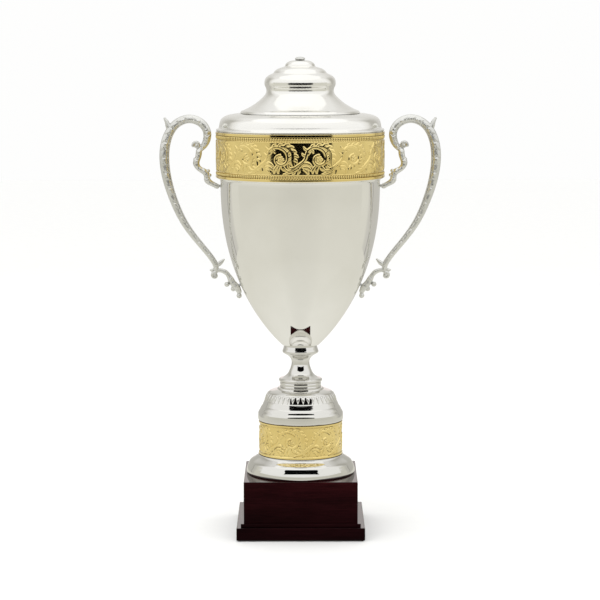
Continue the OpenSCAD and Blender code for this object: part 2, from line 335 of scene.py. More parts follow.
def lacquered_wood():
    """Dark cherry wood with fine straight grain, with painted shade darkening it towards its foot, under
    lacquer.
    """
    n = Nodes("lacquered_wood")
    figure = n.noise(n.stretched((6, 46, 46)), 1, 5, 0.6)
    grain = n.noise(n.stretched((60, 1500, 1500)), 1, 3, 0.7)
    colour = n.blend(figure, (0.30, (0.011, 0.0022, 0.0028)), (0.52, (0.024, 0.0036, 0.0046)),
                     (0.72, (0.040, 0.0056, 0.0074)))
    pores = n.blend(grain, (0.35, (0.55, 0.5, 0.5)), (0.6, WHITE))
    # Painted shade: the wood's colour is made darker towards the bottom of the base.
    up = n.scaled(n.height(), 0.0, BLOCK_TOP * MM)
    painted_shade = n.blend(up, (0.18, (0.28, 0.38, 0.40)), (0.30, (0.42, 0.52, 0.52)),
                    (0.65, (0.62, 0.75, 0.75)), (1.0, WHITE))
    facing = n.add("ShaderNodeLayerWeight", {"Blend": 0.5}).outputs["Facing"]
    n.set(Base_Color=n.times(n.times(colour, pores), painted_shade), Roughness=n.uneven(figure, 0.35, 0.5),
          Specular_IOR_Level=0.0, Normal=n.bump(grain, 0.05, 0.15),
          Coat_Weight=n.scaled(facing, 0.1, 0.7, 0.03, 1.0), Coat_Roughness=0.03, Coat_IOR=1.5)
    return n.material


def felt_cloth():
    """Black felt: a matted fibre surface."""
    n = Nodes("felt_cloth")
    fibre = n.noise(n.stretched((900, 900, 900)), 1, 6, 0.75)
    n.set(Base_Color=n.blend(fibre, (0.3, (0.004, 0.004, 0.005)), (0.7, (0.022, 0.022, 0.024))),
          Roughness=n.uneven(fibre, 0.85, 1.0), Normal=n.bump(fibre, 0.3, 0.8), Sheen_Weight=0.4)
    return n.material


def zinc_steel():
    """Zinc-plated steel of the hidden fasteners, with faint bluish clouds."""
    n = Nodes("zinc_steel")
    cloud = n.noise(n.position, 260, 4)
    colour = n.blend(cloud, (0.35, (0.50, 0.51, 0.53)), (0.65, (0.63, 0.62, 0.60)))
    n.set(Metallic=1.0, Base_Color=colour, Roughness=n.uneven(cloud, 0.25, 0.42),
          Normal=n.bump(n.noise(n.position, 1800, 3), 0.03, 0.4))
    return n.material


BRIGHT, BRIGHT_SHADE = (0.90, 0.89, 0.855), (0.87, 0.86, 0.82)
SILVER = metal("polished_silver", BRIGHT, BRIGHT_SHADE, (0.02, 0.06), spun=0.12)
SOFT_SILVER = metal("softly_polished_silver", BRIGHT, BRIGHT_SHADE, (0.11, 0.15), spun=0.12)
# Painted shade: a darker copy of the same silver plate, for the foot, the dome, its tongues and the stem.
SHADED_SILVER = metal("shaded_silver", (0.75, 0.74, 0.71), (0.71, 0.70, 0.66), (0.03, 0.08), spun=0.15)
# The cast handles and the gold bands get tarnish and painted shade in their hollows.
CAST_SILVER = metal("cast_silver", (0.77, 0.77, 0.74), (0.64, 0.64, 0.61), (0.26, 0.38),
                    hammered=0.25, tarnish_and_shade=(1.5, (0.26, 0.26, 0.25)))
GOLD = metal("embossed_gold", (0.95, 0.76, 0.32), (0.85, 0.65, 0.24), (0.05, 0.11),
             hammered=0.07, hammer_scale=1500, tarnish_and_shade=(1.8, (0.12, 0.09, 0.035)))
WOOD = lacquered_wood()
FELT = felt_cloth()
STEEL = zinc_steel()


# ---- Wooden base ----

# How far the block's rounded foot sinks into the step, so that no gap shows between them.
SINK = 0.5


def soft_edged_block(name, node, side, bottom, top, edge=0.9):
    """A square block of wood with flat faces and rounded edges."""
    work = bmesh.new()
    bmesh.ops.create_cube(work, size=1)
    for v in work.verts:
        z = bottom if v.co.z < 0 else top
        v.co = Vector((v.co.x * side, v.co.y * side, z)) * MM
    edges = list(work.edges)
    bmesh.ops.bevel(work, geom=edges, offset=edge * MM, segments=4, profile=0.5, affect="EDGES")
    mesh = bpy.data.meshes.new(name)
    work.to_mesh(mesh)
    work.free()
    mesh.shade_smooth()
    mesh.set_sharp_from_angle(angle=math.radians(40))
    obj = show(name, mesh)
    flat = obj.modifiers.new("flat_faces", "WEIGHTED_NORMAL")
    flat.keep_sharp = True
    place(obj, "cup", WOOD, node)


step_top = TIER_TOP + STEP_H
block_side = STEP_SIDE - 2 * STEP_OUT
soft_edged_block("wood_tier", "base_tier", TIER_SIDE, TIER_LOW, TIER_TOP, edge=1.0)
soft_edged_block("wood_step", "base_block", STEP_SIDE, TIER_TOP, step_top, edge=0.6)
soft_edged_block("wood_block", "base_block", block_side, step_top - SINK, BLOCK_TOP)


# ---- Turned pieces ----

# Smallest angle that is kept as a crease on the dome and the stem, which have narrow straight facets.
FACET_CREASE_DEG = 12

foot_line = outline(
    [(59.6, 0), (60.4, 0.6), (61.0, 1.8), (61.0, 3.4), (60.7, 5.2), (59.9, 7.8), (58.6, 10.5),
     (57.2, 13.2), (53.6, 16.1), (49.9, 18.4), (48.3, 20.0), (47.9, 20.8), (47.8, 21.5)],
    [(47.8, 21.5), (44, 21.5)],
    [(44, 21.5), (ROD_HOLE_R, 21.5)],
    base=BLOCK_TOP)
place(lathe("foot", sheet(foot_line)), "cup", SHADED_SILVER, "foot_ring")

dome_slope = [(40.2, 23.0), (39.0, 25.8), (37.7, 29.0), (37.0, 30.6)]
dome_shoulder = [(37.0, 30.6), (36.2, 31.9), (34.4, 33.2), (31.4, 34.3), (28.2, 35.1), (26.2, 35.5)]
dome_line = outline(
    [(42, 0), (46.2, 0)],
    [(46.2, 0), (47.4, 1.0), (47.9, 3.2), (47.9, 6.0), (47.6, 8.8)],
    [(47.6, 8.8), (47.0, 10.3)],
    [(47.0, 10.3), (46.3, 11.4), (45.8, 12.2)],
    [(45.8, 12.2), (45.3, 13.4), (44.6, 14.8), (43.7, 16.2), (43.1, 16.9)],
    [(43.1, 16.9), (42.6, 18.0), (41.9, 19.6), (41.2, 21.2)],
    [(41.2, 21.2), (40.8, 22.2), (40.2, 23.0)],
    dome_slope,
    dome_shoulder,
    [(26.2, 35.5), (25.6, 37.0)],
    [(25.6, 37.0), (24.6, 37.5), (23.2, 37.5)],
    [(23.2, 37.5), (ROD_HOLE_R, 37.5)],
    base=DRUM_TOP)
dome = lathe("dome", sheet(dome_line), crease_deg=FACET_CREASE_DEG)
place(dome, "cup", SHADED_SILVER, "plinth_dome")

stem_line = outline(
    [(ROD_HOLE_R, 0), (23.0, 0)],
    [(23.0, 0), (23.2, 1.2)],
    [(23.2, 1.2), (22.8, 2.4)],
    [(22.8, 2.4), (23.0, 3.2), (23.1, 4.4)],
    [(23.1, 4.4), (22.7, 5.6)],
    [(22.7, 5.6), (23.5, 6.4), (24.2, 7.6), (24.2, 8.9), (23.2, 10.2)],
    [(23.2, 10.2), (20.4, 11.1), (17.2, 12.6), (14.4, 15.2), (12.6, 18.4), (11.5, 21.2),
     (10.5, 24.4), (10.0, 27.4), (10.3, 30.4), (11.7, 33.2), (14.2, 35.7), (17.2, 37.6)],
    [(17.2, 37.6), (18.8, 38.4), (20.0, 39.6), (20.2, 40.8), (19.7, 42.4), (19.1, 44.4), (18.5, 46.2)],
    [(18.5, 46.2), (18.5, 47.5)],
    [(18.5, 47.5), (ROD_HOLE_R, 47.5)],
    base=DOME_TOP)
stem = lathe("stem_turned", stem_line, sides=160, crease_deg=FACET_CREASE_DEG)
place(stem, "cup", SHADED_SILVER, "stem")

# The bowl's greatest radius below its rim, its neck's height, its tip's depth below the seat, the
# height at which its side starts above the seat, and the gap between its rim and the lid.
WALL_R = RIM_R - 4.0
NECK = 182.5
TIP_DROP = 13.5
SIDE_START = 0.4
LID_GAP = 0.05


def bowl_radius(z):
    """Radius of the bowl's side at a height above its seat: a superellipse."""
    along = (z + TIP_DROP) / (NECK + TIP_DROP)
    return WALL_R * (1 - np.maximum(1 - along, 0) ** 2.2) ** 0.77


def bowl_line():
    """The bowl's outer outline: its floor, its side, the step out to the rim, and the rim."""
    heights = SIDE_START + (NECK - SIDE_START) * np.linspace(0, 1, 120) ** 1.3
    side = np.stack([bowl_radius(heights), heights], 1)
    step = spline([(WALL_R, NECK), (WALL_R + 0.3, NECK + 2.4), (WALL_R + 1.6, NECK + 4.4),
                   (RIM_R - 0.6, NECK + 5.2), (RIM_R, NECK + 6.6)])
    floor = [(ROD_HOLE_R, 0), (bowl_radius(0) - 1.5, 0)]
    mouth = [(RIM_R, MOUTH - SEAT - LID_GAP)]
    return np.concatenate([floor, side, step[1:], mouth]) + (0, SEAT)


place(lathe("cup_bowl", sheet(bowl_line()), sides=320), "cup", SILVER, "bowl")

lid_line = outline(
    [(88.4, 0), (92.6, 0)],
    [(92.6, 0), (93.1, 0.5), (93.3, 1.3), (93.1, 2.1), (92.5, 2.7)],
    [(92.5, 2.7), (91.0, 3.2), (90.2, 4.4), (89.8, 6.6), (89.3, 9.2), (88.5, 11.8), (86.9, 14.2),
     (84.2, 16.2)],
    [(84.2, 16.2), (80.6, 17.6), (76.0, 18.6), (71.0, 19.3), (66.0, 19.6)],
    [(66.0, 19.6), (STUD_HOLE_R, 19.6)],
    base=MOUTH)
place(lathe("lid_shoulder", sheet(lid_line), sides=320), "lid", SOFT_SILVER, "lid_shell")

knob_line = outline(
    [(65.3, 0), (66.7, 0.3)],
    [(66.7, 0.3), (66.4, 1.1), (65.8, 2.0), (64.8, 3.0)],
    [(64.8, 3.0), (61.2, 4.3), (57.2, 6.3), (52.8, 8.8), (48.6, 11.6), (44.8, 14.7), (41.4, 17.8),
     (39.0, 20.6), (37.9, 22.6), (37.5, 24.2), (37.42, 26.0), (37.8, 27.7), (38.5, 29.4), (39.2, 31.0),
     (39.5, 32.8), (39.5, 35.0), (38.7, 37.8), (36.8, 40.4), (34.0, 42.3), (31.6, 43.5)],
    [(31.6, 43.5), (29.6, 44.6), (28.6, 46.0), (26.8, 47.8), (24.0, 49.4), (20.4, 50.6), (18.2, 51.2)],
    [(18.2, 51.2), (16.9, 52.0), (16.3, 53.6), (15.2, 55.2), (13.0, 56.8), (10.0, 57.9), (6.6, 58.4)],
    [(6.6, 58.4), (STUD_HOLE_R, 58.6)],
    base=DECK)
place(lathe("lid_knob", sheet(knob_line, THIN_SHEET)), "lid", SOFT_SILVER, "lid_dome")

button_line = outline(
    [(0, 0), (4.4, 0)],
    [(4.4, 0), (5.2, 0.4), (5.6, 1.2), (5.3, 2.1), (4.3, 2.8), (2.6, 3.4), (0, 3.6)],
    base=CROWN + 0.1)
place(lathe("finial_button", button_line, sides=64), "lid", CAST_SILVER, "finial")


# ---- Tongues round the plinth's dome ----

# How many there are, the level of their tops above the drum, and the size of each.
TONGUES = 42
TONGUE_TOP = 31.2
TONGUE_H = 8.0
TONGUE_HALF_W = 2.45
TONGUE_RISE = 0.95


def tongue_ring():
    """A ring of petals, broad above and pointed below, on the dome's sloping band."""
    rows, columns = 9, 7
    down = np.linspace(0, 1, rows)[:, None]
    across = np.linspace(-1, 1, columns)[None, :]
    taper = np.clip(1 - down ** 1.15, 0.06, 1) ** 0.8
    width = TONGUE_HALF_W * taper * np.clip(down * 9, 0.55, 1)
    rounding = np.sqrt(np.clip(1 - across ** 2, 0, 1))
    swell = TONGUE_RISE * rounding * (0.45 + 0.55 * np.sin(math.pi * np.clip(down, 0.1, 0.92)))
    high = TONGUE_TOP - TONGUE_H * down
    slope = np.array(dome_slope + dome_shoulder[1:2])
    slope_r = np.interp(high, slope[:, 1], slope[:, 0])
    points, faces = [], []
    for turn in equal_turns(TONGUES):
        for lift in (swell - 0.05, np.full_like(swell, -0.35)):
            points.append(round_axis(slope_r + lift, turn + width * across / slope_r, DRUM_TOP + high))
    skin = grid_faces(rows, columns, False, False)
    size = rows * columns
    top_edge = list(range(columns))
    right_edge = [i * columns + columns - 1 for i in range(1, rows)]
    bottom_edge = [size - 1 - k for k in range(1, columns)]
    left_edge = [i * columns for i in range(rows - 2, 0, -1)]
    rim = top_edge + right_edge + bottom_edge + left_edge
    for front in range(0, 2 * size * TONGUES, 2 * size):
        back = front + size
        faces += [[front + v for v in quad] for quad in skin]
        faces += [[back + v for v in reversed(quad)] for quad in skin]
        faces += [[front + a, front + b, back + b, back + a] for a, b in zip(rim, rim[1:] + rim[:1])]
    return add_mesh("dome_tongues", np.concatenate(points), faces, crease_deg=70)


place(tongue_ring(), "cup", SHADED_SILVER, "plinth_dome")


# ---- Embossed bands ----

# One repeat of the pattern in the units it is drawn in, and the mesh's columns across it.
CELL_W, CELL_H = 42.0, 35.0
CELL_COLUMNS = 105

# A leaf's height, from 0 to 1, and the width of a ridge's vein as a part of its half width.
LEAF_H = 0.9
VEIN_W = 0.25


def emboss(field, x, y, path, vein=0.25):
    """Raises a rounded ridge along a path of (x, y, half width, height) in every repeat of the cell.

    The vein is the depth of the line along the ridge's middle.
    """
    nearest = np.full_like(field, np.inf)
    high = np.zeros_like(field)
    for px, py, half, rise in path:
        across = (x - px + CELL_W / 2) % CELL_W - CELL_W / 2
        far = np.hypot(across, y - py) / half
        closer = far < nearest
        nearest[closer] = far[closer]
        high[closer] = rise
    inside = nearest < 1
    ridge = (1 - nearest[inside] ** 2) ** 0.7 - vein * np.exp(-(nearest[inside] / VEIN_W) ** 2)
    field[inside] = np.maximum(field[inside], high[inside] * ridge)


def leaf(root, tip, half, bend):
    """A leaf from its root to its tip, bent to one side in its middle."""
    (ax, ay), (bx, by) = root, tip
    middle = ((ax + bx) / 2 - bend * (by - ay), (ay + by) / 2 + bend * (bx - ax))
    return spline([(ax, ay, half * 0.7, LEAF_H), (*middle, half, LEAF_H),
                   (bx, by, half * 0.4, LEAF_H * 0.85)], 9)


def scroll_cell(rows):
    """Height, from 0 to 1, of one repeat of the scrolling leaf pattern, its rosette at the origin."""
    cell_x = np.arange(CELL_COLUMNS) * CELL_W / CELL_COLUMNS
    cell_y = (np.arange(rows) / (rows - 1) - 0.5) * CELL_H
    x, y = np.meshgrid(cell_x, cell_y)
    field = np.zeros_like(x)
    stem = spline([
        (-38.8, -9.0, 1.1, 0.8), (-35.6, -12.8, 1.3, 0.9), (-29.2, -11.8, 1.6, 1.0),
        (-23.6, -7.2, 1.6, 1.0), (-18.4, -3.4, 1.6, 1.0), (-15.0, 1.6, 1.6, 1.0),
        (-13.8, 6.6, 1.7, 1.0), (-10.6, 11.2, 1.8, 1.0), (-5.2, 13.2, 1.8, 1.0),
        (0.6, 11.8, 1.7, 1.0), (5.4, 8.0, 1.6, 1.0), (7.4, 2.6, 1.6, 1.0),
        (6.6, -3.0, 1.6, 1.0), (2.4, -6.4, 1.6, 1.0), (-3.2, -5.9, 1.5, 1.0),
        (-6.0, -1.8, 1.4, 1.0), (-4.6, 2.6, 1.3, 1.0), (-0.8, 4.4, 1.2, 1.0)], 16)
    acanthus = spline([
        (0.6, 14.2, 1.8, 0.8), (7.0, 12.4, 2.5, 0.9), (11.5, 8.2, 2.7, 0.95),
        (13.0, 2.6, 2.6, 0.95), (12.6, -3.0, 2.3, 0.9), (13.6, -7.4, 1.7, 0.85)], 16)
    under_stem = spline([
        (3.2, -16.8, 0.9, 0.7), (9.6, -14.8, 1.2, 0.8), (15.6, -12.6, 1.3, 0.9),
        (20.2, -8.8, 1.3, 0.9), (24.4, -4.8, 1.2, 0.9)], 12)
    tendril = spline([
        (16.0, -8.6, 1.3, 0.9), (11.8, -10.4, 1.3, 0.9), (8.4, -8.6, 1.2, 0.9),
        (8.4, -5.6, 1.1, 0.85), (10.6, -5.4, 1.0, 0.8)], 12)
    for path in (acanthus, under_stem, tendril, stem):
        emboss(field, x, y, path)
    outer_lobes = [((4.0, 13.4), (9.6, 16.2)), ((8.6, 11.6), (13.8, 13.0)), ((11.2, 8.2), (16.6, 7.6)),
                   ((12.6, 4.0), (18.6, 2.4)), ((12.8, -0.6), (17.6, -3.6))]
    inner_lobes = [((10.0, 9.0), (7.6, 5.0)), ((11.6, 3.6), (9.2, 0.2)), ((12.2, -1.6), (9.0, -3.8))]
    corner_leaves = [((-19.0, -5.4), (-8.4, -8.2)), ((-17.6, -9.0), (-9.4, -12.6)),
                     ((-16.6, -11.6), (-12.4, -16.6))]
    hanging_leaves = [((-1.0, -7.4), (-3.0, -15.8)), ((1.8, -7.2), (3.8, -12.8)),
                      ((-3.6, -7.2), (-7.6, -15.8))]
    small_leaves = [((-14.4, 3.4), (-19.0, 6.4)), ((-12.4, 9.6), (-17.2, 13.6)),
                    ((-9.4, 12.4), (-5.4, 16.4)), ((-3.0, 14.2), (1.8, 16.6)),
                    ((14.6, -13.4), (12.8, -16.9)), ((19.4, -10.2), (18.4, -16.6)),
                    ((-9.6, 10.4), (-6.8, 6.6)), ((-12.8, 4.6), (-9.8, 7.4))]
    for leaves, half, bend in ((outer_lobes, 1.8, 0.2), (inner_lobes, 1.3, -0.2),
                               (corner_leaves, 2.0, 0.18), (hanging_leaves, 1.6, -0.12),
                               (small_leaves, 1.2, 0.15)):
        for root, tip in leaves:
            emboss(field, x, y, leaf(root, tip, half, bend), vein=0.3)
    eye_y = -0.6
    petal_at, petal_half = 2.3, 1.5
    for turn in equal_turns(5):
        petal = (petal_at * math.cos(turn), petal_at * math.sin(turn) + eye_y, petal_half, 0.85)
        emboss(field, x, y, [petal], vein=0)
    emboss(field, x, y, [(0, eye_y, 1.2, 1.0)], vein=0)
    return field


def embossed_band(name, node, rows, depth, repeats, low_edge, top_edge, pieces=2):
    """A band with the scrolling pattern between two plain edges, in equal stretches round the axis.

    An edge is a list of (distance from the band's end, level from 0 to 1).
    """
    bottom, top = levels(node)
    outer = reach(node)
    low, high = np.array(low_edge), np.array(top_edge)[::-1]
    relief = np.linspace(bottom + low[-1, 0], top - high[0, 0], rows + 2)[1:-1]
    heights = np.concatenate([bottom + low[:, 0], relief, top - high[:, 0]])[:, None]
    cell = scroll_cell(rows)
    columns = repeats * CELL_COLUMNS
    count = columns // pieces + 1
    for index in range(pieces):
        at = np.arange(count) + index * (count - 1)
        turn = at * 2 * math.pi / columns
        level = np.concatenate([low[:, 1:] + 0 * turn, cell[:, at % CELL_COLUMNS],
                                high[:, 1:] + 0 * turn])
        r = np.concatenate([outer - depth * (1 - level), np.full((2, count), outer - BAND_T)])
        z = np.concatenate([heights, [[top], [bottom]]])
        first_end = [i * count for i in range(len(z))]
        last_end = [i * count + count - 1 for i in range(len(z) - 1, -1, -1)]
        faces = grid_faces(len(z), count, True, False) + [first_end, last_end]
        stretch = add_mesh(f"{name}_{index + 1}", round_axis(r, turn, z), faces, crease_deg=75)
        place(stretch, "cup", GOLD, node)


def reeded_row(name, node, low, tall, count, radius):
    """A row of upright beads round the axis, each a little dome taller than it is wide."""
    rows, sides = 5, 12
    deep, fill = 0.85, 0.84
    lift, a = np.meshgrid(np.linspace(0, math.pi / 2, rows), equal_turns(sides), indexing="ij")
    half = math.pi * radius / count * fill
    side = half * np.cos(lift) * np.cos(a) / radius
    r = radius + deep * np.sin(lift)
    z = low + tall / 2 * (1 + np.cos(lift) * np.sin(a))
    points = round_axis(r, equal_turns(count)[:, None, None] + side, z)
    skin = np.array(grid_faces(rows, sides, False, True))
    faces = (np.arange(count)[:, None, None] * rows * sides + skin).reshape(-1, 4).tolist()
    backs = range(0, len(points), rows * sides)
    faces += [[first + k for k in range(sides - 1, -1, -1)] for first in backs]
    place(add_mesh(name, points, faces, crease_deg=60), "cup", GOLD, node)


def thin_ridge(start):
    """Edge points of a thin ridge between the beads and the scrolls."""
    section = ((0, 0), (0.2, 0.35), (0.4, 0.45), (0.6, 0.35), (0.8, 0))
    return [(start + along, level) for along, level in section]


# Each edge is a flat lip with rounded corners; on the rim a channel for the beads and a ridge follow.
BAND_LOW, BAND_TOP = levels("rim_band")
LIP = 3.1

# Beads in each row of the rim, the radius they stand on, and their heights.
BEADS = 204
BEAD_R = reach("rim_band") - 0.95
LOW_BEAD_H = 3.6
TOP_BEAD_H = 4.4
rim_edge_low = [(0, 0.5), (0.2, 0.85), (0.5, 1), (0.7, 1), (2.3, 1), (2.5, 1), (2.8, 0.8), (3.0, 0),
                *thin_ridge(6.8)]
rim_edge_top = [(0, 0.5), (0.1, 0.9), (0.25, 1), (0.4, 1), (2.5, 1), (2.65, 1), (2.8, 0.9), (3.0, 0),
                *thin_ridge(7.6)]
embossed_band("rim_scrolls", "rim_band", rows=100, depth=0.9, repeats=14,
              low_edge=rim_edge_low, top_edge=rim_edge_top)
reeded_row("rim_beads_low", "rim_band", BAND_LOW + LIP, LOW_BEAD_H, BEADS, BEAD_R)
reeded_row("rim_beads_top", "rim_band", BAND_TOP - LIP - TOP_BEAD_H, TOP_BEAD_H, BEADS, BEAD_R)

plinth_edge_low = [(0, 0.5), (0.3, 0.9), (0.7, 1), (0.9, 1), (2.0, 1), (2.2, 1), (2.7, 0.7), (3.0, 0)]
plinth_edge_top = [(0, 0.5), (0.2, 0.9), (0.4, 1), (0.6, 1), (1.6, 1), (1.8, 1), (2.1, 0.7), (2.3, 0)]
embossed_band("plinth_scrolls", "plinth_band", rows=86, depth=1.05, repeats=7,
              low_edge=plinth_edge_low, top_edge=plinth_edge_top, pieces=1)


# ---- Cast handles ----

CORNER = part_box("handle_right")[0] / MM


def from_corner(points):
    """Points given from the right handle's low inner corner, moved to the cup's frame."""
    return [(x + CORNER.x, z + CORNER.z, *rest) for x, z, *rest in points]


# Middle lines in the XZ plane, as (x, z, half width).
ARM = from_corner([
    (29.8, 29.8, 2.6), (29.2, 35.8, 3.0), (33, 44.3, 3.2), (41, 54.8, 3.3), (52.5, 68.8, 3.5),
    (64.5, 86.1, 3.9), (75, 108.4, 4.4), (82.5, 131.8, 5.0), (86, 156.8, 5.5), (82.6, 180.4, 5.3),
    (74.0, 194.2, 4.9), (59.4, 201.0, 4.8), (46.6, 197.8, 4.7), (38.9, 188.4, 4.5),
    (39.0, 177.4, 4.2), (42.8, 170.4, 3.4), (47.5, 165.6, 2.4)])
LINK = from_corner([
    (47.6, 168.8, 3.0), (47.8, 161.8, 3.5), (49.0, 157.3, 3.3), (50.6, 152.8, 3.7),
    (49.2, 148.2, 3.2), (45.6, 144.8, 3.1), (41.2, 142.2, 3.5), (38.8, 137.8, 3.4),
    (38.2, 133.2, 3.6), (34.4, 129.8, 3.0), (29.8, 127.4, 2.8), (26.8, 125.9, 3.1), (25.2, 125.2, 3.3)])
BRANCH = from_corner([
    (28.8, 32, 2.2), (23, 31.8, 2.3), (18.8, 30, 2.6), (15.4, 26.4, 2.6), (13, 22.2, 3.4),
    (10.4, 17.8, 3.6), (6.8, 13.6, 3.9), (4, 9.2, 3.0), (2.8, 5.6, 2.6)])


def tube(points, depth=1.0, relief=None, around=32):
    """A bar of oval section along a path in the XZ plane, with rounded ends.

    relief(s, t) raises its two faces; s runs along the bar in mm and t from -1 to 1 across it.
    """
    path = spline(points, 14)
    along = np.concatenate([[0], np.cumsum(np.linalg.norm(np.diff(path[:, :2], axis=0), axis=1))])
    way = np.gradient(path[:, :2], axis=0)
    way /= np.linalg.norm(way, axis=1)[:, None]
    half = path[:, 2].copy()
    for end, measured in ((0, along), (-1, along[-1] - along)):
        round_off = np.clip(measured / half[end], 0, 1)
        half *= np.sqrt(np.clip(1 - (1 - round_off) ** 2, 0.02, 1))
    a = equal_turns(around)
    across = np.sign(np.cos(a)) * np.abs(np.cos(a)) ** 0.85
    out = np.sign(np.sin(a)) * np.abs(np.sin(a)) ** 0.85
    deep = half[:, None] * depth * out
    if relief is not None:
        deep = deep + np.sign(out) * np.abs(out) ** 0.5 * relief(along[:, None], across[None, :])
    x = path[:, 0, None] - way[:, 1, None] * half[:, None] * across
    z = path[:, 1, None] + way[:, 0, None] * half[:, None] * across
    return np.stack([x, deep, z], -1).reshape(-1, 3), bar_faces(len(path), around)


def ball(x, z, rx, ry, rz):
    """A rounded boss or leaf lobe with its centre in the XZ plane."""
    rows, around = 9, 16
    up = (math.pi * (np.arange(rows) + 0.5) / rows - math.pi / 2)[:, None]
    a = equal_turns(around)
    grids = np.broadcast_arrays(x + rx * np.cos(up) * np.cos(a), ry * np.cos(up) * np.sin(a),
                                z + rz * np.sin(up))
    return np.stack(grids, -1).reshape(-1, 3), bar_faces(rows, around)


def volute(x, z, radius, turn, hand=1):
    """A small flat spiral with a bead at its eye."""
    steps = np.linspace(0, 1, 14)
    angle = turn + hand * steps * 2.6 * math.pi
    r = radius * (1 - 0.72 * steps)
    half = 1.9 - 0.7 * steps
    points = np.stack([x + r * np.cos(angle), z + r * np.sin(angle), half], 1)
    return [tube(points, depth=1.7, around=16), ball(x, z, 1.9, 3.0, 1.9)]


def leafy(s, t):
    """Relief of the arch: overlapping leaves, raised edges, a groove and some beads."""
    length = 8.6
    phase = (s / length + 0.42 * np.abs(t)) % 1.0
    leaves = 0.75 * (1 - phase) ** 0.8 * (1 - np.abs(t) ** 3)
    ribs = 0.12 * np.cos(2 * math.pi * (s / 2.4 + 1.6 * np.abs(t))) * (1 - t ** 2)
    edge = 0.5 * np.exp(-((np.abs(t) - 0.86) / 0.10) ** 2)
    groove = 1.1 * np.exp(-((t - 0.62) / 0.12) ** 2)
    from_bead = (((s / length + 0.5) % 2.0) - 1) * length
    bead = np.clip(1 - (from_bead / 1.9) ** 2 - (t / 0.36) ** 2, 0, 1) ** 0.5
    return leaves + ribs + edge + 0.7 * bead - groove - 0.35


def knobbly(s, t):
    """Relief of the link and the branch: soft leaf ribs."""
    return 0.22 * np.cos(2 * math.pi * s / 5.2 + 2.4 * np.abs(t)) * (1 - t ** 2)


def handle_bits():
    """The right handle's bars, spirals, lobes, beads and spurs, before they are fused."""
    bits = [tube(ARM, 0.92, leafy, 40), tube(LINK, 1.1, knobbly), tube(BRANCH, 1.1, knobbly)]
    arm_end, foot_curl = from_corner([(50.2, 172.0), (30.6, 26.6)])
    bits += volute(*arm_end, radius=4.0, turn=-0.6)
    bits += volute(*foot_curl, radius=3.6, turn=2.4, hand=-1)
    lobes = [(17.2, 16.4, 2.9), (10.4, 11.2, 2.7), (3.6, 3.6, 3.0), (6.6, 14.8, 2.6), (12.4, 20.6, 2.6)]
    bits += [ball(x, z, r, 0.95 * r + 0.6, r) for x, z, r in from_corner(lobes)]
    beads = [(37.4, 143.4, 2.1), (35.6, 138.6, 2.0), (52.0, 156.4, 1.9), (30.2, 127.6, 1.8)]
    bits += [ball(x, z, r, r + 1.3, r) for x, z, r in from_corner(beads)]
    spurs = [[(79, 188, 3.0), (81.6, 193.4, 2.9), (83.0, 197.8, 2.3), (85.4, 201.2, 1.4)],
             [(27.4, 37.8, 2.6), (24.6, 40.4, 2.4), (22.2, 42.6, 1.8), (20.4, 44.4, 1.1)],
             [(31, 32.8, 2.2), (33.6, 32.2, 1.9), (35.6, 32.4, 1.2)]]
    bits += [tube(from_corner(spur), 1.2, around=14) for spur in spurs]
    tips = [(85.2, 201.4, 1.5), (20.6, 44.2, 1.2), (35.4, 32.5, 1.1)]
    bits += [ball(x, z, r, r, r) for x, z, r in from_corner(tips)]
    return bits


# Cell of the grid that a casting's skin is drawn on.
VOXEL = 0.42


def fused(name, bits):
    """One closed skin over overlapping bits, as in a casting."""
    points, faces, first = [], [], 0
    for bit_points, bit_faces in bits:
        points.append(bit_points)
        faces += [[first + v for v in face] for face in bit_faces]
        first += len(bit_points)
    obj = add_mesh(name + "_raw", np.concatenate(points), faces)
    remesh = obj.modifiers.new("fuse", "REMESH")
    remesh.mode = "VOXEL"
    remesh.voxel_size = VOXEL * MM
    smooth = obj.modifiers.new("relax", "SMOOTH")
    smooth.factor = 0.5
    smooth.iterations = 2
    mesh = bpy.data.meshes.new_from_object(obj.evaluated_get(bpy.context.evaluated_depsgraph_get()))
    bpy.data.objects.remove(obj)
    mesh.name = name
    mesh.shade_smooth()
    return show(name, mesh)


def half_turned(name, obj):
    """A copy of a piece, turned half way round the cup's axis."""
    mesh = obj.data.copy()
    points = np.empty(len(mesh.vertices) * 3)
    mesh.vertices.foreach_get("co", points)
    mesh.vertices.foreach_set("co", (points.reshape(-1, 3) * (-1, -1, 1)).ravel())
    return show(name, mesh)


right = fused("handle_cast_right", handle_bits())
left = half_turned("handle_cast_left", right)
place(right, "cup", CAST_SILVER, "handle_right")
place(left, "cup", CAST_SILVER, "handle_left")


# ---- CAD nodes that stay, with their finishes ----

FINISHES = {"silver_plate": SILVER, "gold_plate": GOLD, "wood": WOOD, "steel": STEEL, "felt": FELT}
for node, obj in frame["nodes"].items():
    for material_slot in obj.material_slots:
        material_slot.material = FINISHES[SLOTS[node]]


# ---- Stage, in metres ----

# Points round each part of the tent, the level just under the floor, and half the floor's side.
WALL_STEPS = 96
UNDER_FLOOR = -0.0005
FLOOR_HALF = 6.0

# Radius and level of the tent's table and front, of its grey back and of the white card above it.
SWEEP_R, SWEEP_TOP = 3.0, 0.66
BACK_R, BACK_TOP = 1.0, 1.75
BACK_DEG = (96, 264)
CARD_R, CARD_Z = 1.5, 1.9

# The black slot in the tent's front.
SLOT_Y, SLOT_LOW, SLOT_TOP = -0.45, 0.368, 0.526
SLOT_LEFT, SLOT_RIGHT = -0.345, 0.385

BLACK_PAINT = (0.002, 0.002, 0.002, 1)
WHITE_PAINT = (1.16, 1.16, 1.15, 1)


def round_wall(radius, low, high, start_deg, stop_deg):
    """Points and faces of an upright wall round the axis; angles are measured from -Y."""
    angle = np.radians(np.linspace(start_deg, stop_deg, WALL_STEPS))
    x, y = radius * np.sin(angle), -radius * np.cos(angle)
    points = [(a, b, z) for z in (low, high) for a, b in zip(x, y)]
    return points, grid_faces(2, WALL_STEPS, False, False)


